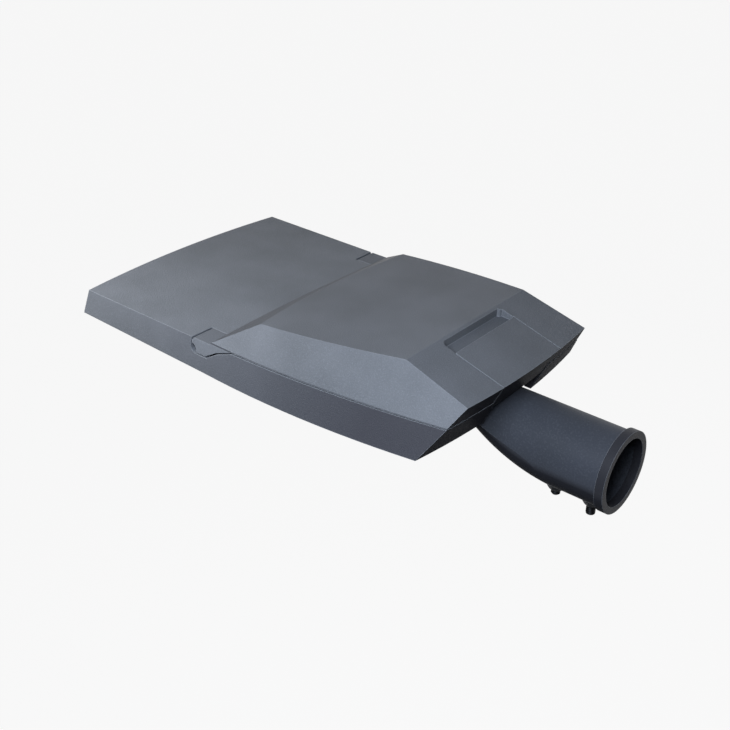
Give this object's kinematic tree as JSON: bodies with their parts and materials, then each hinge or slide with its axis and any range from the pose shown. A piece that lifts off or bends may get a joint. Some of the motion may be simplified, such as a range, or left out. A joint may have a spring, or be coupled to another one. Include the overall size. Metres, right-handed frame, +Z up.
{
  "type": "street light head",
  "caption": "Flat street light head with a faceted gear cover hinged at its front corners, a latch flap in its rear slope and a tilting tube adapter clamped by screws.",
  "frame": {"origin": "middle of the adapter's mouth, on its bore axis, at the end face of the rim", "axes": "+X out of the adapter's mouth along its bore, +Z up away from the road, +Y to the right of someone looking along +X; the light section points towards -X"},
  "size_m": [0.6103, 0.3166, 0.1546],
  "materials": {
    "housing_coat": "dark grey fine-texture powder coat on die casting",
    "adapter_coat": "darker grey smooth powder coat on die casting",
    "clear_glass": "tempered float glass",
    "seal_rubber": "silicone seal",
    "board_white": "white solder mask",
    "emitter_yellow": "phosphor dome",
    "lens_clear": "clear moulded lens",
    "zinc_steel": "zinc plated",
    "dark_steel": "black passivated",
    "zinc_sheet": "galvanised sheet",
    "driver_case": "bare extruded case",
    "grey_plastic": "moulded",
    "black_plastic": "moulded"
  },
  "bodies": {
    "adapter": {"pole_adapter": "adapter_coat", "tilt_sleeves": "zinc_steel", "clamp_screws": "dark_steel", "clamp_nuts": "dark_steel"},
    "head": {"base_housing": "housing_coat", "glass_frame": "housing_coat", "frame_screws": "zinc_steel", "led_glass": "clear_glass", "glass_gasket": "seal_rubber", "led_board": "board_white", "led_emitters": "emitter_yellow", "lens_plate": "lens_clear", "lens_screws": "zinc_steel", "gear_tray": "zinc_sheet", "tray_screws": "zinc_steel", "led_driver": "driver_case", "driver_screws": "zinc_steel", "surge_protector": "grey_plastic", "terminal_block": "grey_plastic", "cable_gland": "black_plastic", "breather_vent": "black_plastic", "cover_gasket": "seal_rubber", "hinge_pins": "zinc_steel", "pivot_bolts": "zinc_steel", "pivot_washers": "zinc_steel"},
    "cover": {"gear_cover": "housing_coat", "latch_pin": "zinc_steel", "latch_spring": "zinc_steel"},
    "latch": {"latch_lever": "housing_coat"}
  },
  "joints": [
    {"name": "tilt", "type": "hinge", "parent": "adapter", "child": "head", "pos_m": [-0.158, 0, 0.033], "axis": [0, -1, 0], "range_deg": [0, 90]},
    {"name": "cover_hinge", "type": "hinge", "parent": "head", "child": "cover", "pos_m": [-0.4165, 0, 0.0455], "axis": [0, -1, 0], "range_deg": [0, 80]},
    {"name": "latch_pivot", "type": "hinge", "parent": "cover", "child": "latch", "pos_m": [-0.121, 0, 0.066], "axis": [0, 1, 0], "range_deg": [0, 35], "stiffness_Nm_per_rad": 0.4, "springref_deg": -17.19}
  ]
}
